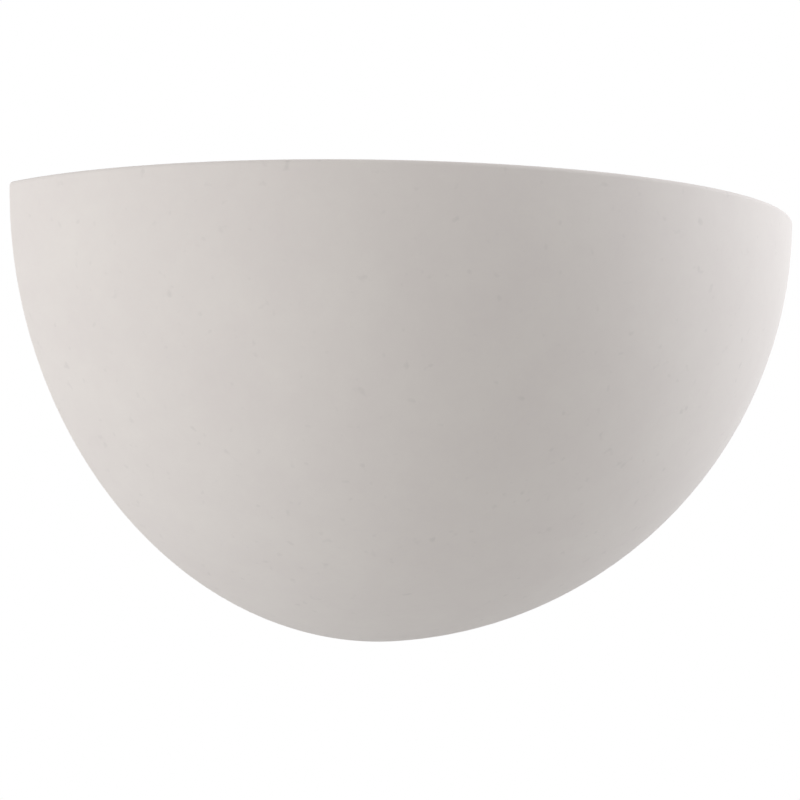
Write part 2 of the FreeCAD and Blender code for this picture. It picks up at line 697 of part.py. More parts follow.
def terminal_block():
    """Three poles joined by thin webs."""
    half = BLOCK_WIDTH / 2 - BLOCK_BASE_INSET
    body = block(-half, half, PANEL_FRONT - BLOCK_BASE, PANEL_FRONT,
                 BLOCK_BOTTOM + BLOCK_BASE_INSET, BLOCK_TOP - BLOCK_BASE_INSET)
    body = body.fuse([terminal_pole(name) for name in POLE_NAMES])
    tower_top = BLOCK_FRONT - TOWER_HEIGHT
    screws = clamp_screw_places(1) + clamp_screw_places(-1)
    for place in screws:
        body = body.fuse(rod(TOWER_RADIUS, V(place.x, tower_top, place.z), V(place.x, PANEL_FRONT, place.z)))
    body = body.removeSplitter()
    cuts = along_poles(INSERT_BORE, -OVERSHOOT) + along_poles(INSERT_RADIUS, INSERT_END_GAP)
    for place in screws:
        cuts.append(rod(TOWER_RADIUS - TOWER_WALL, place, V(place.x, tower_top - OVERSHOOT, place.z)))
    seat = PANEL_FRONT - BLOCK_BASE
    for x in web_screw_places():
        z = BLOCK_CENTRE_HEIGHT
        cuts.append(rod(WEB_SCREW_RADIUS + SCREW_HOLE_CLEARANCE, V(x, 0, z), V(x, tower_top, z)))
        cuts.append(rod(WEB_SCREW_HEAD_RADIUS + SCREW_HOLE_CLEARANCE, V(x, seat, z), V(x, tower_top, z)))
    return body.cut(cuts)


def terminal_inserts():
    """Brass tubes that join the conductors in each pole, tapped for the clamp screws."""
    screw_ways = []
    for place in clamp_screw_places(1) + clamp_screw_places(-1):
        screw_ways.append(rod(CLAMP_SCREW_RADIUS + THREAD_FIT, place, V(place.x, BLOCK_FRONT, place.z)))
    inserts = []
    for outer, bore in zip(along_poles(INSERT_RADIUS, INSERT_END_GAP), along_poles(INSERT_BORE, 0)):
        inserts.append(outer.cut([bore] + screw_ways))
    return Part.makeCompound(inserts)


def terminal_screws():
    """Slotted clamp screws: open for the supply wires, tight on the leads of the lamps."""
    tips = {1: CONDUCTOR_Y - INSERT_BORE - OPEN_CLAMP_GAP, -1: CONDUCTOR_Y - FERRULE_RADIUS}
    half_slot = CLAMP_SLOT_WIDTH / 2
    past = CLAMP_SCREW_RADIUS + OVERSHOOT
    screws = []
    for end, tip in tips.items():
        for place in clamp_screw_places(end):
            shank = rod(CLAMP_SCREW_RADIUS, V(0, 0, 0), V(0, 0, CLAMP_SCREW_LENGTH))
            slot = block(-past, past, -half_slot, half_slot,
                         CLAMP_SCREW_LENGTH - CLAMP_SLOT_DEPTH, CLAMP_SCREW_LENGTH + OVERSHOOT)
            screws.append(pointing(shank.cut(slot), V(place.x, tip, place.z), V(0, -1, 0)))
    return Part.makeCompound(screws)


def terminal_block_screws():
    """Two screws through the webs into the panel."""
    screws = []
    length = BLOCK_BASE + SHEET + THREAD_SHOWING
    for x in web_screw_places():
        screw = pan_screw(WEB_SCREW_RADIUS, length, WEB_SCREW_HEAD_RADIUS, WEB_SCREW_HEAD, WEB_RECESS_DEPTH)
        screws.append(pointing(screw, V(x, PANEL_FRONT - BLOCK_BASE, BLOCK_CENTRE_HEIGHT), V(0, -1, 0)))
    return Part.makeCompound(screws)


# ------------------------------------------------------------------ earth connection
def on_earth_axis(y):
    """Point on the axis of the earth stud."""
    return V(EARTH_STUD_OFFSET, y, EARTH_STUD_HEIGHT)


def earth_stud():
    """Brass stud clinched in the panel."""
    tip = PANEL_FRONT - EARTH_STUD_LENGTH
    back = PANEL_FRONT + SHEET
    shank = rod(SCREW_M4_RADIUS, on_earth_axis(tip), on_earth_axis(back))
    shank = shank.makeChamfer(STUD_TIP_CHAMFER, edges_where(shank, lambda p: near(p.y, tip)))
    return shank.fuse(rod(STUD_HEAD_RADIUS, on_earth_axis(back), on_earth_axis(back + STUD_HEAD_THICKNESS)))


def barrel_mouth():
    """Lower end of the ring terminal's barrel, on the axis of the lead."""
    drop = RING_RADIUS + RING_NECK_LENGTH + BARREL_LENGTH
    y = PANEL_FRONT - EARTH_LEAD_RADIUS - BARREL_WALL
    return V(EARTH_STUD_OFFSET, y, EARTH_STUD_HEIGHT - drop)


def earth_ring_terminal():
    """Crimped ring on the stud, its barrel pointing down."""
    front = PANEL_FRONT - RING_THICKNESS
    ring = rod(RING_RADIUS, on_earth_axis(front), on_earth_axis(PANEL_FRONT))
    mouth = barrel_mouth()
    barrel_top = mouth.z + BARREL_LENGTH
    half = RING_NECK_WIDTH / 2
    neck = block(EARTH_STUD_OFFSET - half, EARTH_STUD_OFFSET + half, front, PANEL_FRONT,
                 barrel_top - BARREL_CLOSED_END, EARTH_STUD_HEIGHT)
    barrel = rod(EARTH_LEAD_RADIUS + BARREL_WALL, mouth, mouth + V(0, 0, BARREL_LENGTH))
    hole = rod(SCREW_M4_RADIUS + SCREW_HOLE_CLEARANCE, on_earth_axis(front - OVERSHOOT), on_earth_axis(0))
    crimp_end = mouth + V(0, 0, BARREL_LENGTH - BARREL_CLOSED_END)
    crimp = rod(EARTH_LEAD_RADIUS, mouth - V(0, 0, OVERSHOOT), crimp_end)
    return ring.fuse([neck, barrel]).cut([hole, crimp])


def earth_star_washer():
    """Toothed washer between the ring and the nut."""
    points = []
    for index in range(2 * STAR_TEETH):
        radius = STAR_WASHER_RADIUS if index % 2 else STAR_WASHER_RADIUS - STAR_TOOTH
        angle = math.pi * index / STAR_TEETH
        points.append(V(radius * math.cos(angle), radius * math.sin(angle), 0))
    washer = prism(points, V(0, 0, STAR_WASHER_THICKNESS))
    top = V(0, 0, STAR_WASHER_THICKNESS + OVERSHOOT)
    bore = rod(SCREW_M4_RADIUS + SCREW_HOLE_CLEARANCE, V(0, 0, -OVERSHOOT), top)
    return pointing(washer.cut(bore), on_earth_axis(PANEL_FRONT - RING_THICKNESS), V(0, -1, 0))


def earth_nut():
    """Hexagon nut on the earth stud."""
    nut = hex_nut(EARTH_NUT_ACROSS_FLATS, EARTH_NUT_HEIGHT, SCREW_M4_RADIUS + THREAD_FIT)
    return pointing(nut, on_earth_axis(PANEL_FRONT - RING_THICKNESS - STAR_WASHER_THICKNESS), V(0, -1, 0))


def earth_lead():
    """Lead from the earth pole down behind the other leads and up into the ring terminal."""
    start = V(pole_x("earth"), CONDUCTOR_Y, BLOCK_BOTTOM)
    mouth = barrel_mouth()
    behind = PANEL_FRONT - EARTH_LEAD_RADIUS - EARTH_LEAD_GAP
    knee = V(start.x + EARTH_KNEE_OUT, behind - EARTH_KNEE_OFF_PANEL, start.z - EARTH_KNEE_DOWN)
    turn = V(start.x + EARTH_TURN_OUT, behind, start.z - EARTH_TURN_DOWN)
    upturn = V(mouth.x - EARTH_UPTURN_IN, behind, mouth.z - EARTH_UPTURN_DOWN)
    points = [start, start - V(0, 0, EARTH_DROP), knee, turn, upturn,
              mouth - V(0, 0, EARTH_RISE), mouth + V(0, 0, BARREL_LENGTH - BARREL_CLOSED_END)]
    return wire_along(points, EARTH_LEAD_RADIUS, "earth_lead")


# ------------------------------------------------------------------ lampholders, for the right-hand side
def holder_bracket():
    """Folded strip: a leg screwed on the panel, and a shelf that carries the lampholder."""
    half = SHEET / 2
    leg = PANEL_FRONT - half
    shelf = BRACKET_TOP - half
    nose = -(LAMP_REACH + HOLDER_LENGTH / 2 + BRACKET_PAST_HOLDER)
    line = [V(LAMP_X, leg, BRACKET_TOP + BRACKET_LEG), V(LAMP_X, leg, shelf), V(LAMP_X, nose, shelf)]
    strip = folded_sheet(line, SHEET, PLATE_BEND, V(BRACKET_WIDTH, 0, 0))
    strip = rounded(strip, BRACKET_NOSE_RADIUS,
                    lambda p: near(p.y, nose) and near(abs(p.x - LAMP_X), BRACKET_WIDTH / 2))
    cuts = []
    for z in bracket_screw_heights():
        cuts.append(rod(SCREW_M4_RADIUS + SCREW_HOLE_CLEARANCE, V(LAMP_X, PANEL_FRONT - 2 * SHEET, z),
                        V(LAMP_X, PANEL_FRONT, z)))
    for y in lug_places():
        cuts.append(rod(SCREW_M3_RADIUS + SCREW_HOLE_CLEARANCE, V(LAMP_X, y, BRACKET_TOP - 2 * SHEET),
                        V(LAMP_X, y, BRACKET_TOP)))
    for y in pin_places():
        cuts.append(rod(LEAD_RADIUS + BRACKET_LEAD_CLEARANCE, V(LAMP_X, y, BRACKET_TOP - 2 * SHEET),
                        V(LAMP_X, y, BRACKET_TOP)))
    return strip.cut(cuts)


def lug_places():
    """Y of the two holder screws."""
    return (-LAMP_REACH - HOLDER_LUG_SPACING / 2, -LAMP_REACH + HOLDER_LUG_SPACING / 2)


def pin_places():
    """Y of the two lamp pins, the outer one first."""
    return (-LAMP_REACH - PIN_SPACING / 2, -LAMP_REACH + PIN_SPACING / 2)


def holder_slab(bottom, top):
    """Slab with rounded ends, as long as the lampholder."""
    half_x = HOLDER_WIDTH / 2
    half_y = HOLDER_LENGTH / 2
    slab = block(LAMP_X - half_x, LAMP_X + half_x, -LAMP_REACH - half_y, -LAMP_REACH + half_y, bottom, top)

    def at_corner(p):
        return near(abs(p.x - LAMP_X), half_x) and near(abs(p.y + LAMP_REACH), half_y)

    return rounded(slab, HOLDER_END_ROUNDING, at_corner)


def lug_holes(bottom, top):
    """Holes for the holder screws."""
    return [rod(SCREW_M3_RADIUS + SCREW_HOLE_CLEARANCE, V(LAMP_X, y, bottom), V(LAMP_X, y, top))
            for y in lug_places()]


def lampholder():
    """Steatite body: lugs, a tower, the socket for the lamp's pinch and a chamber for each contact."""
    foot = BRACKET_TOP + HOLDER_BASE
    shoulder = foot + HOLDER_LUG
    top = BRACKET_TOP + HOLDER_HEIGHT
    half_x = HOLDER_WIDTH / 2
    half_y = HOLDER_TOWER_LENGTH / 2
    tower = block(LAMP_X - half_x, LAMP_X + half_x, -LAMP_REACH - half_y, -LAMP_REACH + half_y, foot, top)

    def at_corner(p):
        return near(abs(p.x - LAMP_X), half_x) and near(abs(p.y + LAMP_REACH), half_y)

    tower = rounded(tower, HOLDER_ROUNDING, at_corner)
    tower = rounded(tower, HOLDER_TOP_ROUNDING, lambda p: near(p.z, top))
    lugs = rounded(holder_slab(foot, shoulder), HOLDER_TOP_ROUNDING, lambda p: near(p.z, shoulder))
    body = tower.fuse(lugs).removeSplitter()
    slot_x = PINCH_THICKNESS / 2 + SOCKET_CLEARANCE
    slot_y = PINCH_WIDTH / 2 + SOCKET_CLEARANCE
    socket = block(LAMP_X - slot_x, LAMP_X + slot_x, -LAMP_REACH - slot_y, -LAMP_REACH + slot_y,
                   LAMP_SEAT, top + OVERSHOOT)

    def at_socket_corner(p):
        return near(abs(p.x - LAMP_X), slot_x) and near(abs(p.y + LAMP_REACH), slot_y)

    socket = rounded(socket, SOCKET_ROUNDING, at_socket_corner)
    cuts = [socket] + contact_chambers() + lug_holes(foot - OVERSHOOT, shoulder + OVERSHOOT)
    return body.cut(cuts)


def contact_chambers():
    """Hollows below the socket, one for each contact."""
    half_x = PIN_WIRE_RADIUS + CONTACT_GAP + CONTACT_THICKNESS + CHAMBER_MARGIN
    half_y = CONTACT_WIDTH / 2 + CHAMBER_MARGIN
    bottom = CONTACT_FOOT - OVERSHOOT
    top = LAMP_SEAT + OVERSHOOT
    return [block(LAMP_X - half_x, LAMP_X + half_x, y - half_y, y + half_y, bottom, top)
            for y in pin_places()]


def holder_base():
    """Steatite cover under the body, with a hole for each lead."""
    slab = holder_slab(BRACKET_TOP, CONTACT_FOOT)
    bottom = BRACKET_TOP - OVERSHOOT
    top = CONTACT_FOOT + OVERSHOOT
    holes = [rod(LEAD_RADIUS + LEAD_HOLE_CLEARANCE, V(LAMP_X, y, bottom), V(LAMP_X, y, top))
             for y in pin_places()]
    return slab.cut(holes + lug_holes(bottom, top))


def holder_contacts():
    """Springy U-shaped clips that grip the lamp pins."""
    clips = []
    reach = PIN_WIRE_RADIUS + CONTACT_GAP + CONTACT_THICKNESS / 2
    foot = CONTACT_FOOT + CONTACT_THICKNESS / 2
    top = LAMP_SEAT - CONTACT_BELOW_SOCKET
    for y in pin_places():
        line = [V(LAMP_X - reach, y, top), V(LAMP_X - reach, y, foot),
                V(LAMP_X + reach, y, foot), V(LAMP_X + reach, y, top)]
        clips.append(folded_sheet(line, CONTACT_THICKNESS, CONTACT_BEND, V(0, CONTACT_WIDTH, 0)))
    return Part.makeCompound(clips)


def holder_screws():
    """Screws down through the lugs, the base and the shelf."""
    screws = []
    length = HOLDER_LUG + HOLDER_BASE + SHEET + NUT_M3_HEIGHT + THREAD_SHOWING
    for y in lug_places():
        screw = pan_screw(SCREW_M3_RADIUS, length, SCREW_M3_HEAD_RADIUS, SCREW_M3_HEAD, RECESS_DEPTH)
        screws.append(pointing(screw, V(LAMP_X, y, CONTACT_FOOT + HOLDER_LUG), V(0, 0, 1)))
    return Part.makeCompound(screws)


def holder_nuts():
    nuts = []
    for y in lug_places():
        nut = hex_nut(NUT_M3_ACROSS_FLATS, NUT_M3_HEIGHT, SCREW_M3_RADIUS + THREAD_FIT)
        nuts.append(pointing(nut, V(LAMP_X, y, BRACKET_TOP - SHEET), V(0, 0, -1)))
    return Part.makeCompound(nuts)


def bracket_screws():
    screws = []
    for side in SIDES.values():
        for z in bracket_screw_heights():
            length = SCREW_M4_LENGTH
            screw = pan_screw(SCREW_M4_RADIUS, length, SCREW_M4_HEAD_RADIUS, SCREW_M4_HEAD, RECESS_DEPTH)
            screws.append(pointing(screw, V(side * LAMP_X, PANEL_FRONT - SHEET, z), V(0, -1, 0)))
    return Part.makeCompound(screws)


# ------------------------------------------------------------------ capsule lamp, for the right-hand side
def on_lamp(y, z, x=0.0):
    """Point by its place beside the lamp axis and its height above the lamp's seat."""
    return V(LAMP_X + x, -LAMP_REACH + y, LAMP_SEAT + z)


def capsule(radius, start, end):
    """Upright tube with a round end above and below."""
    body = rod(radius, on_lamp(0, start), on_lamp(0, end))
    return body.fuse([Part.makeSphere(radius, on_lamp(0, start)), Part.makeSphere(radius, on_lamp(0, end))])


def looped_pin(y):
    """One hairpin loop: two straight legs joined by a half round."""
    half = PIN_LOOP_WIDTH / 2
    bottom = PIN_WIRE_RADIUS - PIN_LENGTH
    first_top = on_lamp(y - half, PIN_IN_GLASS)
    first_end = on_lamp(y - half, bottom + half)
    second_end = on_lamp(y + half, bottom + half)
    second_top = on_lamp(y + half, PIN_IN_GLASS)
    route = Part.Wire([Part.LineSegment(first_top, first_end).toShape(),
                       Part.Arc(first_end, on_lamp(y, bottom), second_end).toShape(),
                       Part.LineSegment(second_end, second_top).toShape()])
    section = Part.Wire(Part.makeCircle(PIN_WIRE_RADIUS, first_top, V(0, 0, -1)))
    return route.makePipeShell([section], True, False)


def lamp_pins():
    """Two looped wires out of the pinch."""
    return Part.makeCompound([looped_pin(-PIN_SPACING / 2), looped_pin(PIN_SPACING / 2)])


def lamp_foils():
    """Molybdenum foils sealed in the pinch."""
    foils = []
    for y in (-PIN_SPACING / 2, PIN_SPACING / 2):
        low = on_lamp(y - FOIL_WIDTH / 2, PIN_IN_GLASS, -FOIL_THICKNESS / 2)
        high = on_lamp(y + FOIL_WIDTH / 2, PIN_IN_GLASS + FOIL_LENGTH, FOIL_THICKNESS / 2)
        foils.append(block(low.x, high.x, low.y, high.y, low.z, high.z))
    return foils


def lamp_support_wires():
    """A short wire to the lower end of the coil and a long one up the glass to its upper end."""
    foil_top = PIN_IN_GLASS + FOIL_LENGTH
    coil_top = COIL_START + COIL_LENGTH
    offset = INNER_WIRE_OFFSET
    short = [on_lamp(offset, foil_top), on_lamp(offset, COIL_START - LOWER_WIRE_KNEE),
             on_lamp(0, COIL_START - LOWER_WIRE_TURN), on_lamp(0, COIL_START)]
    long = [on_lamp(-offset, foil_top), on_lamp(-offset, coil_top + UPPER_WIRE_KNEE),
            on_lamp(0, coil_top + UPPER_WIRE_TURN), on_lamp(0, coil_top)]
    return [wire_along(short, INNER_WIRE_RADIUS), wire_along(long, INNER_WIRE_RADIUS)]


def lamp_seals():
    """Foils and support wires: the conductors inside the glass."""
    return Part.makeCompound(lamp_foils() + lamp_support_wires())


def lamp_coil():
    """Outer shape of the tungsten coil."""
    return rod(COIL_RADIUS, on_lamp(0, COIL_START), on_lamp(0, COIL_START + COIL_LENGTH))


def lamp_glass():
    """Quartz capsule: flat pinch, tube with round ends, and the drawn-off tip."""
    half_x = PINCH_THICKNESS / 2
    half_y = PINCH_WIDTH / 2
    low = on_lamp(-half_y, 0, -half_x)
    pinch = block(low.x, low.x + PINCH_THICKNESS, low.y, low.y + PINCH_WIDTH, low.z, low.z + PINCH_HEIGHT)

    def at_corner(p):
        return near(abs(p.x - LAMP_X), half_x) and near(abs(p.y + LAMP_REACH), half_y)

    pinch = rounded(pinch, PINCH_ROUNDING, at_corner)
    dome_start = CAPSULE_START + CAPSULE_STRAIGHT
    outside = capsule(CAPSULE_RADIUS, CAPSULE_START, dome_start)
    dome_top = dome_start + CAPSULE_RADIUS
    tip_foot = on_lamp(0, dome_top - TIP_ROOT)
    tip = Part.makeCone(TIP_RADIUS, TIP_END_RADIUS, TIP_ROOT + TIP_HEIGHT, tip_foot, V(0, 0, 1))
    hollow = capsule(CAPSULE_RADIUS - CAPSULE_GLASS, CAPSULE_START, dome_start)
    glass = outside.fuse([pinch, tip]).removeSplitter().cut(hollow)
    return glass.cut(lamp_pins().Solids + lamp_seals().Solids)


# ------------------------------------------------------------------ internal leads, for the right-hand side
def near_lead():
    """From the inner contact under the bracket to the pole on the same side."""
    pin = V(LAMP_X, pin_places()[1], CONTACT_FOOT)
    end = V(POLE_PITCH + TWIN_OFFSET, CONDUCTOR_Y, BLOCK_BOTTOM)
    knee = pin + V(-NEAR_KNEE_IN, NEAR_KNEE_BACK, -NEAR_KNEE_DOWN)
    sag = V(NEAR_SAG_OUT, -NEAR_SAG_OFF_WALL, BLOCK_BOTTOM - NEAR_SAG_DOWN)
    turn = V(NEAR_TURN_OUT, -NEAR_TURN_OFF_WALL, BLOCK_BOTTOM - NEAR_TURN_DOWN)
    points = [pin, pin - V(0, 0, NEAR_DROP), knee, sag, turn, end - V(0, 0, NEAR_RISE), end]
    return wire_along(points, LEAD_RADIUS, "near_lead")


def far_lead(shift):
    """From the outer contact to the pole on the other side, kept clear of its twin by a shift."""
    pin = V(LAMP_X, pin_places()[0], CONTACT_FOOT)
    end = V(-POLE_PITCH + TWIN_OFFSET, CONDUCTOR_Y, BLOCK_BOTTOM)
    knee = pin + V(-FAR_KNEE_IN, FAR_KNEE_BACK, -FAR_KNEE_DOWN)
    sag = V(FAR_SAG_OUT, -FAR_SAG_OFF_WALL - shift, BLOCK_BOTTOM - FAR_SAG_DOWN - shift)
    turn = V(-FAR_TURN_PAST, -FAR_TURN_OFF_WALL - shift, BLOCK_BOTTOM - FAR_TURN_DOWN)
    points = [pin, pin - V(0, 0, FAR_DROP), knee, sag, turn, end - V(0, 0, FAR_RISE), end]
    return wire_along(points, LEAD_RADIUS, "far_lead")


def live_leads():
    """The live pole is on the left, so the left lamp has the near lead and the right lamp the far one."""
    return {"left": mirrored(near_lead(), LEFT), "right": far_lead(0)}


def neutral_leads():
    """The neutral pole is on the right."""
    return {"left": mirrored(far_lead(LEADS_APART), LEFT), "right": near_lead()}


def ferrule(x):
    """Tinned end of a lead, up in its pole."""
    foot = V(x, CONDUCTOR_Y, BLOCK_BOTTOM)
    return rod(FERRULE_RADIUS, foot, foot + V(0, 0, FERRULE_LENGTH))


def lead_ferrules():
    """One ferrule on the earth lead, two side by side in each of the other poles."""
    ferrules = [ferrule(pole_x("earth"))]
    for name in ("live", "neutral"):
        ferrules += [ferrule(pole_x(name) - TWIN_OFFSET), ferrule(pole_x(name) + TWIN_OFFSET)]
    return Part.makeCompound(ferrules)


# ------------------------------------------------------------------ every node
def nodes():
    """Name and shape of every separate piece."""
    yield "ceramic_bowl", ceramic_bowl()
    yield "stud_bushes", both_sides(stud_bush)
    yield "mounting_plate", mounting_plate()
    yield "bowl_studs", bowl_studs()
    yield "arm_pads", arm_pads()
    yield "cable_grommet", cable_grommet()
    yield "terminal_block", terminal_block()
    yield "terminal_inserts", terminal_inserts()
    yield "terminal_screws", terminal_screws()
    yield "terminal_block_screws", terminal_block_screws()
    yield "earth_stud", earth_stud()
    yield "earth_ring_terminal", earth_ring_terminal()
    yield "earth_star_washer", earth_star_washer()
    yield "earth_nut", earth_nut()
    yield "earth_lead", earth_lead()
    yield "lead_ferrules", lead_ferrules()
    yield "bracket_screws", bracket_screws()
    paired = {
        "captive_washer": captive_washer(),
        "knurled_nut": knurled_nut(),
        "holder_bracket": holder_bracket(),
        "lampholder": lampholder(),
        "holder_base": holder_base(),
        "holder_contacts": holder_contacts(),
        "holder_screws": holder_screws(),
        "holder_nuts": holder_nuts(),
        "lamp_glass": lamp_glass(),
        "lamp_pins": lamp_pins(),
        "lamp_seals": lamp_seals(),
        "lamp_coil": lamp_coil(),
    }
    for name, shape in paired.items():
        for side_name, side in SIDES.items():
            yield f"{name}_{side_name}", mirrored(shape, side)
    for name, leads in (("live_lead", live_leads()), ("neutral_lead", neutral_leads())):
        for side_name, shape in leads.items():
            yield f"{name}_{side_name}", shape


os.makedirs("parts", exist_ok=True)
for node_name, node_shape in nodes():
    if not node_shape.isValid() or not node_shape.Solids:
        print(f"{node_name}: NOT VALID")
    node_shape.exportStep(f"parts/{node_name}.step")
print(f"bowl studs at {STUD_X:.3f}, brackets at {BRACKET_TOP:.1f}, panel {PANEL_BOTTOM:.1f} to {PANEL_TOP:.1f}")
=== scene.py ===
import math

import bmesh
import bpy
from mathutils import Matrix, Quaternion, Vector


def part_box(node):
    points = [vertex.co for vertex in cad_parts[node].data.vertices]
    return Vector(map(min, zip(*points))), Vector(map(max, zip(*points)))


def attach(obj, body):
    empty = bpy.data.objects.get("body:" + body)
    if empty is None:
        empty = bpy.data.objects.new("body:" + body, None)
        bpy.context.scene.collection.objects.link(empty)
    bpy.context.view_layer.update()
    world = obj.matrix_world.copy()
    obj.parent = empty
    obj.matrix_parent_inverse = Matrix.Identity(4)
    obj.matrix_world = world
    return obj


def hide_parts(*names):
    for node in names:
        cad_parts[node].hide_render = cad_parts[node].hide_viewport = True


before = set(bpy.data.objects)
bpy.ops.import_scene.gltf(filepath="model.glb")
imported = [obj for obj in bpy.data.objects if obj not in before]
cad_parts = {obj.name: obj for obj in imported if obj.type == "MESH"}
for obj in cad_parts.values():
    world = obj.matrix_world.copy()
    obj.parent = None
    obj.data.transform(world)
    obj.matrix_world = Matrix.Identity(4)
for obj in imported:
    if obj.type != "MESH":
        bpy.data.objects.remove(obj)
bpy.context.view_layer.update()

# ------------------------------------------------------------------ mounting plate
# The strip that is screwed to the wall and carries everything else. It is pressed from 1.5 mm mild
# steel, raised in the middle to leave room for the cable, and zinc plated after punching.


def linear(srgb):
    """Linear colour of an sRGB hex value."""
    parts = [int(srgb[i:i + 2], 16) / 255 for i in (1, 3, 5)]
    return tuple(p / 12.92 if p <= 0.04045 else ((p + 0.055) / 1.055) ** 2.4 for p in parts) + (1,)


def cells(size_mm):
    """Texture scale at which one cell of a pattern is this many millimetres wide."""
    return 1000 / size_mm


def add_node(material, kind, inputs=None, **settings):
    """Adds a node. An input is a plain value, or another node's output that is linked to it."""
    made = material.node_tree.nodes.new(kind)
    for setting, value in settings.items():
        setattr(made, setting, value)
    for socket, value in (inputs or {}).items():
        if isinstance(value, bpy.types.NodeSocket):
            material.node_tree.links.new(value, made.inputs[socket])
        else:
            made.inputs[socket].default_value = value
    return made


def new_finish(name, **values):
    """A material, its shader with these values, and the place on the part in metres."""
    material = bpy.data.materials.new(name)
    material.use_nodes = True
    shader = material.node_tree.nodes["Principled BSDF"]
    for socket, value in values.items():
        shader.inputs[socket.replace("_", " ")].default_value = value
    place = add_node(material, "ShaderNodeTexCoord").outputs["Object"]
    return material, shader, place


def drive(material, shader, **outputs):
    """Links outputs of nodes to sockets of the shader."""
    for socket, output in outputs.items():
        material.node_tree.links.new(output, shader.inputs[socket.replace("_", " ")])


def shades(material, amount, *stops):
    """Colour ramp: each stop is a place from 0 to 1 and an sRGB hex value."""
    ramp = add_node(material, "ShaderNodeValToRGB", {"Fac": amount})
    for element, (position, colour) in zip(ramp.color_ramp.elements, stops):
        element.position = position
        element.color = linear(colour)
    return ramp.outputs["Color"]


def finish_nodes(material, *names):
    """Gives the material to pieces of the CAD model."""
    for name in names:
        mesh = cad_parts[name].data
        mesh.materials.clear()
        mesh.materials.append(material)


# Bright zinc on rolled steel: a cool grey metal, a little cloudy where the plating bath left it
# thicker, over the fine lengthwise grain of the sheet.
ZINC_CLOUD_MM = 9
ROLLED_GRAIN_MM = 0.4
ROLLED_GRAIN_STRETCH = 20      # times as long as it is wide, level across the wall
zinc_sheet, shader, place = new_finish("zinc_plated_sheet", Metallic=1.0)
clouds = add_node(zinc_sheet, "ShaderNodeTexNoise",
                  {"Vector": place, "Scale": cells(ZINC_CLOUD_MM), "Detail": 3.0}).outputs["Fac"]
lengthwise = add_node(zinc_sheet, "ShaderNodeMapping",
                      {"Vector": place, "Scale": (1 / ROLLED_GRAIN_STRETCH, 1, 1)})
grain = add_node(zinc_sheet, "ShaderNodeTexNoise",
                 {"Vector": lengthwise.outputs["Vector"], "Scale": cells(ROLLED_GRAIN_MM),
                  "Detail": 2.0}).outputs["Fac"]
shine = add_node(zinc_sheet, "ShaderNodeMapRange",
                 {"Value": grain, "From Min": 0.3, "From Max": 0.7, "To Min": 0.27, "To Max": 0.43})
relief = add_node(zinc_sheet, "ShaderNodeBump", {"Height": grain, "Strength": 0.3, "Distance": 0.00002})
drive(zinc_sheet, shader, Base_Color=shades(zinc_sheet, clouds, (0.3, "#ADB2B8"), (0.7, "#C3C6C7")),
      Roughness=shine.outputs["Result"], Normal=relief.outputs["Normal"])
finish_nodes(zinc_sheet, "mounting_plate")

# ------------------------------------------------------------------ bowl studs
# Two M4 studs clinched in the arms of the plate, their heads flush with its back. They are rolled
# steel screws with bright zinc plating, and the bowl hangs on them.

# Zinc plating on small screws: smooth and brighter than the sheet, with faint blue and straw tints
# of the clear passivation.
TINT_MM = 3
zinc_screw, shader, place = new_finish("zinc_plated_screws", Metallic=1.0, Roughness=0.26)
tint = add_node(zinc_screw, "ShaderNodeTexNoise",
                {"Vector": place, "Scale": cells(TINT_MM), "Detail": 2.0}).outputs["Fac"]
drive(zinc_screw, shader, Base_Color=shades(zinc_screw, tint, (0.32, "#B9C3CC"), (0.68, "#D6D3C6")))


def stand_on_axis(mesh, name, material, foot, axis):
    """Makes a piece of a mesh that was made up the Z axis: its origin goes to foot, its Z to axis."""
    bmesh.ops.recalc_face_normals(mesh, faces=mesh.faces)
    turn = Vector(axis).to_track_quat("Z", "Y").to_matrix().to_4x4()
    mesh.transform(Matrix.Translation(foot) @ turn)
    made = bpy.data.objects.new(name, bpy.data.meshes.new(name))
    mesh.to_mesh(made.data)
    mesh.free()
    made.data.materials.append(material)
    bpy.context.scene.collection.objects.link(made)
    return made


THREAD_SPOKES = 32
THREAD_DEPTH_IN_PITCHES = 0.6
# One turn of the thread in section: how far along the pitch, and how high from root to crest.
THREAD_SECTION = ((0.0, 0.0), (0.1, 0.0), (0.46, 1.0), (0.54, 1.0), (0.9, 0.0))
SPARE_TURNS = 3      # run past both ends and are cut off there
SAME_POINT = 1e-7


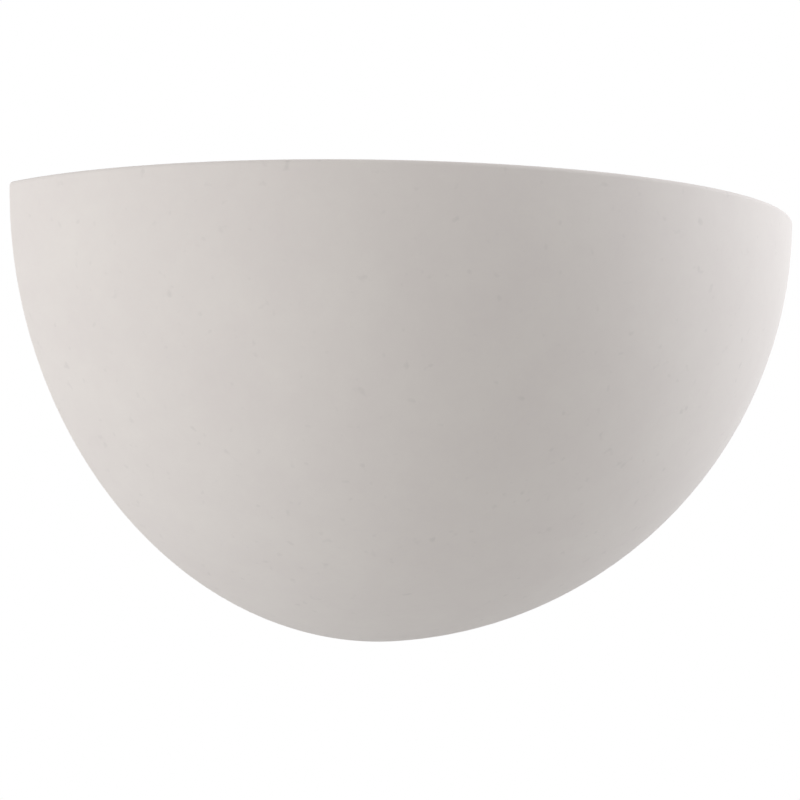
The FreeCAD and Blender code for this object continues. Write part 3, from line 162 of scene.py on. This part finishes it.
def threaded_rod(name, material, foot, tip, radius, pitch, chamfer):
    """Rod with a real helical thread from foot to tip, cut flat at both ends."""
    axis = Vector(tip) - Vector(foot)
    depth = THREAD_DEPTH_IN_PITCHES * pitch
    per_turn = len(THREAD_SECTION)
    turns = int(axis.length / pitch) + SPARE_TURNS
    mesh = bmesh.new()
    rows = []
    for step in range(turns * per_turn):
        part, height = THREAD_SECTION[step % per_turn]
        row = []
        for spoke in range(THREAD_SPOKES):
            z = pitch * (step // per_turn - 1 + part + spoke / THREAD_SPOKES)
            chamfered = radius - chamfer + max(axis.length - z, 0)
            reach = min(radius - depth * (1 - height), chamfered)
            angle = 2 * math.pi * spoke / THREAD_SPOKES
            row.append(mesh.verts.new((reach * math.cos(angle), reach * math.sin(angle), z)))
        rows.append(row)
    for step in range(len(rows) - 1):
        for spoke in range(THREAD_SPOKES - 1):
            mesh.faces.new((rows[step][spoke], rows[step][spoke + 1],
                            rows[step + 1][spoke + 1], rows[step + 1][spoke]))
        if step + 1 + per_turn < len(rows):
            mesh.faces.new((rows[step][-1], rows[step + per_turn][0],
                            rows[step + 1 + per_turn][0], rows[step + 1][-1]))
    for height, outwards in ((0, -1), (axis.length, 1)):
        everything = mesh.verts[:] + mesh.edges[:] + mesh.faces[:]
        cut = bmesh.ops.bisect_plane(mesh, geom=everything, dist=SAME_POINT, clear_outer=True,
                                     plane_co=(0, 0, height), plane_no=(0, 0, outwards))
        rim = [part for part in cut["geom_cut"] if isinstance(part, bmesh.types.BMEdge)]
        bmesh.ops.contextual_create(mesh, geom=rim)
    return stand_on_axis(mesh, name, material, foot, axis)


TURNED_STEPS = 48


def turned_piece(name, material, foot, axis, profile):
    """Solid of revolution. The profile gives the distance along the axis from foot, and the radius."""
    angles = [2 * math.pi * step / TURNED_STEPS for step in range(TURNED_STEPS)]
    mesh = bmesh.new()
    rings = []
    for along, radius in profile:
        if radius:
            rings.append([mesh.verts.new((radius * math.cos(angle), radius * math.sin(angle), along))
                          for angle in angles])
        else:
            rings.append([mesh.verts.new((0, 0, along))] * TURNED_STEPS)
    for ring, following in zip(rings, rings[1:]):
        for step in range(TURNED_STEPS):
            corners = (ring[step - 1], ring[step], following[step], following[step - 1])
            mesh.faces.new(tuple(dict.fromkeys(corners)))      # three corners at the axis
    return stand_on_axis(mesh, name, material, foot, axis)


def stands_for(piece, node, body):
    """The piece takes the place of a CAD node on this body."""
    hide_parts(node)
    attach(piece, body)


M4_RADIUS = 0.002
M4_PITCH = 0.0007
STUD_CHAMFER = 0.0005
STUD_HEAD_RADIUS = 0.0032
STUD_HEAD_THICKNESS = 0.0009


def clinched_stud(name, material, back, sheet_front, tip):
    """Threaded stud and the head that is pressed into the sheet: two pieces on one axis."""
    thread = threaded_rod(name + "_thread", material, sheet_front, tip,
                          M4_RADIUS, M4_PITCH, STUD_CHAMFER)
    plain = (Vector(sheet_front) - Vector(back)).length
    head = turned_piece(name + "_head", material, back, (0, -1, 0),
                        ((0, 0), (0, STUD_HEAD_RADIUS), (STUD_HEAD_THICKNESS, STUD_HEAD_RADIUS),
                         (STUD_HEAD_THICKNESS, M4_RADIUS), (plain, M4_RADIUS), (plain, 0)))
    return thread, head


studs_low, studs_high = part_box("bowl_studs")
arm_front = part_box("arm_pads")[1].y
for side in ("left", "right"):
    nut_low, nut_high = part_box(f"knurled_nut_{side}")
    x = (nut_low.x + nut_high.x) / 2
    for piece in clinched_stud(f"bowl_stud_{side}", zinc_screw, (x, studs_high.y, 0),
                               (x, arm_front, 0), (x, studs_low.y, 0)):
        stands_for(piece, "bowl_studs", "wall_plate")

# ------------------------------------------------------------------ arm pads and cable grommet
# Pads cut from black rubber sheet lie between the steel arms and the ceramic. The grommet, moulded
# in the same rubber, lines the hole where the cable comes through the panel.

# Black rubber: matt, with a fine moulded grain and a faint grey bloom on it.
BLOOM_MM = 4
RUBBER_GRAIN_MM = 0.35
rubber, shader, place = new_finish("moulded_black_rubber", Roughness=0.66)
bloom = add_node(rubber, "ShaderNodeTexNoise",
                 {"Vector": place, "Scale": cells(BLOOM_MM), "Detail": 4.0}).outputs["Fac"]
pores = add_node(rubber, "ShaderNodeTexNoise",
                 {"Vector": place, "Scale": cells(RUBBER_GRAIN_MM), "Detail": 1.0}).outputs["Fac"]
relief = add_node(rubber, "ShaderNodeBump", {"Height": pores, "Strength": 0.5, "Distance": 0.00005})
drive(rubber, shader, Base_Color=shades(rubber, bloom, (0.35, "#1D1D1E"), (0.75, "#2B2B2B")),
      Normal=relief.outputs["Normal"])
finish_nodes(rubber, "arm_pads", "cable_grommet")

# ------------------------------------------------------------------ earth connection
# A brass stud clinched in the panel, with the crimped ring of the earth lead, a toothed washer and
# a brass nut on it. The ring is tinned copper, and the washer is zinc-plated spring steel.

# Turned brass: warm yellow metal, a little brown where it has been handled, with fine tool lines.
HANDLING_MM = 5
TOOL_LINES_MM = 0.25
brass, shader, place = new_finish("turned_brass", Metallic=1.0)
handling = add_node(brass, "ShaderNodeTexNoise",
                    {"Vector": place, "Scale": cells(HANDLING_MM), "Detail": 3.0}).outputs["Fac"]
lines = add_node(brass, "ShaderNodeTexNoise",
                 {"Vector": place, "Scale": cells(TOOL_LINES_MM), "Detail": 1.0}).outputs["Fac"]
shine = add_node(brass, "ShaderNodeMapRange", {"Value": lines, "To Min": 0.2, "To Max": 0.36})
drive(brass, shader, Base_Color=shades(brass, handling, (0.35, "#B8923F"), (0.7, "#D8B566")),
      Roughness=shine.outputs["Result"])

# Tinned copper: a dull silvery coat with the small ripples of hot tinning.
TIN_RIPPLE_MM = 1.2
tinned, shader, place = new_finish("tinned_copper", Metallic=1.0, Roughness=0.34)
ripple = add_node(tinned, "ShaderNodeTexNoise",
                  {"Vector": place, "Scale": cells(TIN_RIPPLE_MM), "Detail": 2.0}).outputs["Fac"]
relief = add_node(tinned, "ShaderNodeBump", {"Height": ripple, "Strength": 0.35, "Distance": 0.00006})
drive(tinned, shader, Base_Color=shades(tinned, ripple, (0.3, "#B4B3AE"), (0.7, "#CFCDC8")),
      Normal=relief.outputs["Normal"])

earth_low, earth_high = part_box("earth_stud")
axis_x, axis_z = (earth_low.x + earth_high.x) / 2, (earth_low.z + earth_high.z) / 2
panel_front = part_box("earth_ring_terminal")[1].y
for piece in clinched_stud("earth_stud", brass, (axis_x, earth_high.y, axis_z),
                           (axis_x, panel_front, axis_z), (axis_x, earth_low.y, axis_z)):
    stands_for(piece, "earth_stud", "wall_plate")
finish_nodes(brass, "earth_nut")
finish_nodes(zinc_screw, "earth_star_washer")
finish_nodes(tinned, "earth_ring_terminal")

# ------------------------------------------------------------------ terminal block
# Three poles moulded in one piece of white polyamide, each with a brass tube inside and two slotted
# clamp screws. Two screws through the webs hold it on the panel.

# Moulded polyamide: milky white with a soft gloss, slightly translucent at thin edges.
MILK_MM = 7
MOULD_GRAIN_MM = 0.3
polyamide, shader, place = new_finish("moulded_white_polyamide", Roughness=0.38, IOR=1.53,
                                      Subsurface_Weight=0.15, Subsurface_Scale=0.0012)
milk = add_node(polyamide, "ShaderNodeTexNoise",
                {"Vector": place, "Scale": cells(MILK_MM), "Detail": 2.0}).outputs["Fac"]
skin = add_node(polyamide, "ShaderNodeTexNoise",
                {"Vector": place, "Scale": cells(MOULD_GRAIN_MM), "Detail": 1.0}).outputs["Fac"]
relief = add_node(polyamide, "ShaderNodeBump", {"Height": skin, "Strength": 0.3, "Distance": 0.00002})
drive(polyamide, shader, Base_Color=shades(polyamide, milk, (0.3, "#E6E3D8"), (0.7, "#EFEDE4")),
      Normal=relief.outputs["Normal"])
finish_nodes(polyamide, "terminal_block")
finish_nodes(brass, "terminal_inserts")
finish_nodes(zinc_screw, "terminal_screws", "terminal_block_screws")

# ------------------------------------------------------------------ lampholder brackets
# Two strips of 1.5 mm steel, folded once and zinc plated like the plate. Each is held on the panel
# by two M4 pan-head screws, and carries one lampholder on its shelf.
finish_nodes(zinc_sheet, "holder_bracket_left", "holder_bracket_right")
finish_nodes(zinc_screw, "bracket_screws")

# ------------------------------------------------------------------ lampholders
# Each is a pressed and fired steatite body on a steatite base, with two spring contacts inside. Two
# M3 screws and nuts through its lugs hold it on the shelf of the bracket.

# Steatite: dense cream-white electrical ceramic, unglazed, with a waxy sheen and fine grey grains.
FIRING_MM = 12
STEATITE_GRAIN_MM = 0.5
steatite, shader, place = new_finish("pressed_steatite", Roughness=0.47, IOR=1.55)
firing = add_node(steatite, "ShaderNodeTexNoise",
                  {"Vector": place, "Scale": cells(FIRING_MM), "Detail": 2.0}).outputs["Fac"]
grains = add_node(steatite, "ShaderNodeTexNoise",
                  {"Vector": place, "Scale": cells(STEATITE_GRAIN_MM), "Detail": 2.0}).outputs["Fac"]
grey_grain = add_node(steatite, "ShaderNodeMapRange",
                      {"Value": grains, "From Min": 0.64, "From Max": 0.74, "To Max": 0.25})
speckled = add_node(steatite, "ShaderNodeMixRGB",
                    {"Fac": grey_grain.outputs["Result"], "Color2": linear("#9C978B"),
                     "Color1": shades(steatite, firing, (0.3, "#DDD5C3"), (0.7, "#E7E0D0"))})
relief = add_node(steatite, "ShaderNodeBump", {"Height": grains, "Strength": 0.3, "Distance": 0.00004})
drive(steatite, shader, Base_Color=speckled.outputs["Color"], Normal=relief.outputs["Normal"])

# Stainless spring strip: bright and even, with the streaks of the rolled strip.
STRIP_STREAK_MM = 0.3
spring_strip, shader, place = new_finish("rolled_spring_steel", Metallic=1.0)
streaks = add_node(spring_strip, "ShaderNodeTexNoise",
                   {"Vector": place, "Scale": cells(STRIP_STREAK_MM), "Detail": 1.0}).outputs["Fac"]
shine = add_node(spring_strip, "ShaderNodeMapRange", {"Value": streaks, "To Min": 0.18, "To Max": 0.32})
drive(spring_strip, shader,
      Base_Color=shades(spring_strip, streaks, (0.3, "#ABA9A4"), (0.7, "#C2C0BA")),
      Roughness=shine.outputs["Result"])
for side in ("left", "right"):
    finish_nodes(steatite, f"lampholder_{side}", f"holder_base_{side}")
    finish_nodes(spring_strip, f"holder_contacts_{side}")
    finish_nodes(zinc_screw, f"holder_screws_{side}", f"holder_nuts_{side}")

# ------------------------------------------------------------------ internal leads
# Silicone-covered stranded copper, because it is hot beside the lamps: brown for live, blue for
# neutral, green and yellow for earth. The ends in the block are in tinned ferrules.
DUST_MM = 3


def silicone(name, dark, light):
    """Extruded silicone rubber: a soft, slightly dusty sheen and faint unevenness along the lead."""
    material, shader, place = new_finish(name, Roughness=0.5, Sheen_Weight=0.15)
    dust = add_node(material, "ShaderNodeTexNoise",
                    {"Vector": place, "Scale": cells(DUST_MM), "Detail": 3.0}).outputs["Fac"]
    relief = add_node(material, "ShaderNodeBump", {"Height": dust, "Strength": 0.3, "Distance": 0.00005})
    drive(material, shader, Base_Color=shades(material, dust, (0.35, dark), (0.7, light)),
          Normal=relief.outputs["Normal"])
    return material, shader


brown, _ = silicone("extruded_brown_silicone", "#4A2A1B", "#5A3524")
blue, _ = silicone("extruded_blue_silicone", "#1F4F93", "#2C60A6")
finish_nodes(brown, "live_lead_left", "live_lead_right")
finish_nodes(blue, "neutral_lead_left", "neutral_lead_right")

# The earth lead is extruded green with a yellow stripe down its front and its back. The stripe lies
# where the skin faces forwards or backwards by more than these shares.
STRIPE_STARTS = 0.66
STRIPE_IS_FULL = 0.72
striped, shader = silicone("extruded_green_yellow_silicone", "#2F7A34", "#3C8A3F")
green = shader.inputs["Base Color"].links[0].from_socket
facing = add_node(striped, "ShaderNodeTexCoord").outputs["Normal"]
depth = add_node(striped, "ShaderNodeSeparateXYZ", {"Vector": facing}).outputs["Y"]
across = add_node(striped, "ShaderNodeMath", {0: depth}, operation="ABSOLUTE").outputs["Value"]
edge = add_node(striped, "ShaderNodeMapRange",
                {"Value": across, "From Min": STRIPE_STARTS, "From Max": STRIPE_IS_FULL})
stripe = add_node(striped, "ShaderNodeMixRGB",
                  {"Fac": edge.outputs["Result"], "Color1": green, "Color2": linear("#DCC22A")})
drive(striped, shader, Base_Color=stripe.outputs["Color"])
finish_nodes(striped, "earth_lead")
finish_nodes(tinned, "lead_ferrules")

# ------------------------------------------------------------------ capsule lamps
# Two plug-in halogen capsules of fused quartz. The pinch at the foot is pressed flat on the
# molybdenum foils, the tip is where the tube was drawn off, and the filament is a coiled wire.

# Fused quartz: clear and colourless, with a faint waviness where it was worked in the flame.
FLAME_WAVE_MM = 6
quartz, shader, place = new_finish("flame_worked_quartz", Base_Color=linear("#FCFDFD"),
                                   Roughness=0.01, IOR=1.458, Transmission_Weight=1.0)
waves = add_node(quartz, "ShaderNodeTexNoise",
                 {"Vector": place, "Scale": cells(FLAME_WAVE_MM), "Detail": 1.0}).outputs["Fac"]
relief = add_node(quartz, "ShaderNodeBump", {"Height": waves, "Strength": 0.15, "Distance": 0.0002})
drive(quartz, shader, Normal=relief.outputs["Normal"])

# Drawn molybdenum and tungsten: grey wire with the lines of the die, darker where it has run hot.
DIE_LINES_MM = 0.2
molybdenum, shader, place = new_finish("drawn_molybdenum", Metallic=1.0, Roughness=0.33)
die = add_node(molybdenum, "ShaderNodeTexNoise",
               {"Vector": place, "Scale": cells(DIE_LINES_MM), "Detail": 1.0}).outputs["Fac"]
drive(molybdenum, shader, Base_Color=shades(molybdenum, die, (0.3, "#8E8F92"), (0.7, "#B2B2B2")))
tungsten, shader, place = new_finish("coiled_tungsten", Metallic=1.0, Roughness=0.4)
die = add_node(tungsten, "ShaderNodeTexNoise",
               {"Vector": place, "Scale": cells(DIE_LINES_MM), "Detail": 1.0}).outputs["Fac"]
drive(tungsten, shader, Base_Color=shades(tungsten, die, (0.3, "#5C5C60"), (0.7, "#7C7C80")))

FILAMENT_RADIUS = 0.00016      # the real wire is about 0.05 mm across: drawn thicker so that it shows
FILAMENT_PITCH = 0.0005
FILAMENT_STEPS = 12      # in each turn
for side in ("left", "right"):
    finish_nodes(quartz, f"lamp_glass_{side}")
    finish_nodes(molybdenum, f"lamp_pins_{side}", f"lamp_seals_{side}")
    low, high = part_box(f"lamp_coil_{side}")
    middle = (low + high) / 2
    radius = (high.x - low.x) / 2 - FILAMENT_RADIUS
    turns = (high.z - low.z - 2 * FILAMENT_RADIUS) / FILAMENT_PITCH
    wire = bpy.data.curves.new(f"filament_{side}", "CURVE")
    wire.dimensions = "3D"
    wire.bevel_depth = FILAMENT_RADIUS
    wire.bevel_resolution = 2
    wire.use_fill_caps = True
    steps = int(turns * FILAMENT_STEPS)
    spline = wire.splines.new("POLY")
    spline.points.add(steps)
    for step in range(steps + 1):
        angle = 2 * math.pi * turns * step / steps
        height = low.z + FILAMENT_RADIUS + FILAMENT_PITCH * turns * step / steps
        spline.points[step].co = (middle.x + radius * math.cos(angle),
                                  middle.y + radius * math.sin(angle), height, 1)
    wire.materials.append(tungsten)
    filament = bpy.data.objects.new(f"filament_{side}", wire)
    bpy.context.scene.collection.objects.link(filament)
    stands_for(filament, f"lamp_coil_{side}", f"lamp_{side}")

# ------------------------------------------------------------------ ceramic bowl
# A quarter sphere slip-cast in a plaster mould, in one piece with the flange that lies on the wall.
# The rim is fettled and sponged while it is damp, and the bowl is fired once and left unglazed.

# Bisque: warm white and quite matt. It is very even, with a soft cloudiness where the slip dried at
# different speeds, a few grey specks of iron in the clay, and a grain like fine eggshell.
BISQUE_CLOUD_MM = 38
BISQUE_SPECK_MM = 4.2
BISQUE_GRAIN_MM = 0.55      # the real grit is about 0.05 mm: drawn coarser so that it shows
bisque, shader, place = new_finish("unglazed_bisque", Roughness=0.82, IOR=1.5, Diffuse_Roughness=0.4)
cloud = add_node(bisque, "ShaderNodeTexNoise",
                 {"Vector": place, "Scale": cells(BISQUE_CLOUD_MM),
                  "Detail": 6.0, "Roughness": 0.8}).outputs["Fac"]
specks = add_node(bisque, "ShaderNodeTexNoise",
                  {"Vector": place, "Scale": cells(BISQUE_SPECK_MM), "Detail": 1.0}).outputs["Fac"]
grain = add_node(bisque, "ShaderNodeTexNoise",
                 {"Vector": place, "Scale": cells(BISQUE_GRAIN_MM), "Detail": 3.0}).outputs["Fac"]
grey_speck = add_node(bisque, "ShaderNodeMapRange",
                      {"Value": specks, "From Min": 0.68, "From Max": 0.84, "To Max": 0.5})
clay = add_node(bisque, "ShaderNodeMixRGB",
                {"Fac": grey_speck.outputs["Result"], "Color2": linear("#D8D1CC"),
                 "Color1": shades(bisque, cloud, (0.3, "#E7DFDA"), (0.7, "#EBE4DE"))})
relief = add_node(bisque, "ShaderNodeBump", {"Height": grain, "Strength": 0.25, "Distance": 0.00006})

# The back of the flange is rubbed flat on a sanding disc after firing: a little paler, with level
# scratches that run out at the rounded edges. The disc reaches these depths from the wall.
SANDED_FROM = -0.0006
SANDED_FULLY = -0.0001
SCRATCH_MM = 0.5
SCRATCH_STRETCH = 14      # times as long as it is wide
depth = add_node(bisque, "ShaderNodeSeparateXYZ", {"Vector": place}).outputs["Y"]
sanded = add_node(bisque, "ShaderNodeMapRange",
                  {"Value": depth, "From Min": SANDED_FROM, "From Max": SANDED_FULLY}).outputs["Result"]
along = add_node(bisque, "ShaderNodeMapping",
                 {"Vector": place, "Scale": (1, SCRATCH_STRETCH, SCRATCH_STRETCH)})
scratches = add_node(bisque, "ShaderNodeTexNoise",
                     {"Vector": along.outputs["Vector"], "Scale": cells(SCRATCH_MM * SCRATCH_STRETCH),
                      "Detail": 3.0}).outputs["Fac"]
rubbed = add_node(bisque, "ShaderNodeMath", {0: scratches, 1: sanded},
                  operation="MULTIPLY").outputs["Value"]
scored = add_node(bisque, "ShaderNodeBump", {"Height": rubbed, "Strength": 0.6, "Distance": 0.0001,
                                             "Normal": relief.outputs["Normal"]})
paler = add_node(bisque, "ShaderNodeMixRGB",
                 {"Fac": rubbed, "Color1": clay.outputs["Color"], "Color2": linear("#F2EEEA")})
drive(bisque, shader, Base_Color=paler.outputs["Color"], Normal=scored.outputs["Normal"])
finish_nodes(bisque, "ceramic_bowl")

# ------------------------------------------------------------------ bowl fixings
# Shouldered rubber bushes in the flange, steel washers, and knurled thumb nuts of nickel-plated
# brass that are turned by hand to hold the bowl on its studs.

# Bright nickel on turned brass: a warm silver, with brass just showing on the crests of the knurls.
NICKEL_TONE_MM = 2.5
nickel, shader, place = new_finish("nickel_plated_brass", Metallic=1.0, Roughness=0.2)
tone = add_node(nickel, "ShaderNodeTexNoise",
                {"Vector": place, "Scale": cells(NICKEL_TONE_MM), "Detail": 3.0}).outputs["Fac"]
crest = add_node(nickel, "ShaderNodeNewGeometry").outputs["Pointiness"]
worn = add_node(nickel, "ShaderNodeMapRange",
                {"Value": crest, "From Min": 0.54, "From Max": 0.62, "To Max": 0.35})
plated = add_node(nickel, "ShaderNodeMixRGB",
                  {"Fac": worn.outputs["Result"], "Color2": linear("#C9AE6E"),
                   "Color1": shades(nickel, tone, (0.3, "#C6C1B6"), (0.7, "#DAD6CC"))})
drive(nickel, shader, Base_Color=plated.outputs["Color"])
finish_nodes(rubber, "stud_bushes")
finish_nodes(zinc_screw, "captive_washer_left", "captive_washer_right")
finish_nodes(nickel, "knurled_nut_left", "knurled_nut_right")

# ------------------------------------------------------------------ floor, lamps and camera
# A large pale floor far below, because the object hangs on a wall. A soft lamp stands at each side in
# a white surround, and the camera is at the photograph's angle: from the left and a little below.
FLOOR_LEVEL = -2.3
FLOOR_HALF = 40
FLOOR_GLOW = 0.64      # for the camera alone, so that the floor ends in white, without a horizon
floor_mesh = bpy.data.meshes.new("floor")
floor_mesh.from_pydata([(x * FLOOR_HALF, y * FLOOR_HALF, FLOOR_LEVEL)
                        for x, y in ((-1, -1), (1, -1), (1, 1), (-1, 1))], [], [(0, 1, 2, 3)])
floor = bpy.data.objects.new("floor", floor_mesh)
bpy.context.scene.collection.objects.link(floor)
painted, shader, _ = new_finish("pale_painted_floor", Base_Color=linear("#E8E8E7"), Roughness=0.9,
                                Emission_Color=(1, 1, 1, 1))
seen = add_node(painted, "ShaderNodeLightPath").outputs["Is Camera Ray"]
glow = add_node(painted, "ShaderNodeMath", {0: seen, 1: FLOOR_GLOW}, operation="MULTIPLY")
drive(painted, shader, Emission_Strength=glow.outputs["Value"])
floor.data.materials.append(painted)

# The surround is white where it is looked at, also in metal and through glass, and gives less light
# than that.
SURROUND_LIGHT = 0.41
surround = bpy.data.worlds.new("white_surround")
bpy.context.scene.world = surround
surround.use_nodes = True
background = surround.node_tree.nodes["Background"]
rays = add_node(surround, "ShaderNodeLightPath").outputs
straight = add_node(surround, "ShaderNodeMath", {0: rays["Is Camera Ray"], 1: rays["Is Glossy Ray"]},
                    operation="MAXIMUM").outputs["Value"]
looked_at = add_node(surround, "ShaderNodeMath", {0: straight, 1: rays["Is Transmission Ray"]},
                     operation="MAXIMUM").outputs["Value"]
level = add_node(surround, "ShaderNodeMapRange",
                 {"Value": looked_at, "To Min": SURROUND_LIGHT, "To Max": 1.0})
surround.node_tree.links.new(level.outputs["Result"], background.inputs["Strength"])
background.inputs["Color"].default_value = (1, 1, 1, 1)

LAMP_DISTANCE = 2.4
LAMPS_AIM_AT = Vector((0, 0, -0.03))
for name, bearing, lift, width, height, power, colour in (
        ("soft_lamp_left", -94, 0, 0.9, 3.0, 40, "#F7FBFF"),
        ("soft_lamp_right", 60, 20, 1.4, 2.4, 61, "#F3F8FF")):
    light = bpy.data.lights.new(name, "AREA")
    light.shape = "RECTANGLE"
    light.size, light.size_y = width, height
    light.energy = power
    light.color = linear(colour)[:3]
    lamp = bpy.data.objects.new(name, light)
    turn, rise = math.radians(bearing), math.radians(lift)
    lamp.location = LAMP_DISTANCE * Vector((math.sin(turn) * math.cos(rise),
                                            -math.cos(turn) * math.cos(rise), math.sin(rise)))
    lamp.rotation_mode = "QUATERNION"
    lamp.rotation_quaternion = (LAMPS_AIM_AT - lamp.location).to_track_quat("-Z", "Y")
    bpy.context.scene.collection.objects.link(lamp)

CAMERA_AT = Vector((-0.9491, -1.3316, -0.1752))
CAMERA_LOOKS_AT = Vector((0.01571, 0.00036, -0.02453))
CAMERA_ANGLE = 10.89
CAMERA_TILT = 0.73
camera = bpy.data.objects.new("camera", bpy.data.cameras.new("camera"))
bpy.context.scene.collection.objects.link(camera)
camera.location = CAMERA_AT
camera.rotation_mode = "QUATERNION"
camera.rotation_quaternion = ((CAMERA_LOOKS_AT - CAMERA_AT).to_track_quat("-Z", "Y")
                              @ Quaternion((0, 0, 1), math.radians(CAMERA_TILT)))
camera.data.sensor_fit = "HORIZONTAL"
camera.data.angle = math.radians(CAMERA_ANGLE)
bpy.context.scene.camera = camera
bpy.context.scene.view_settings.view_transform = "Standard"
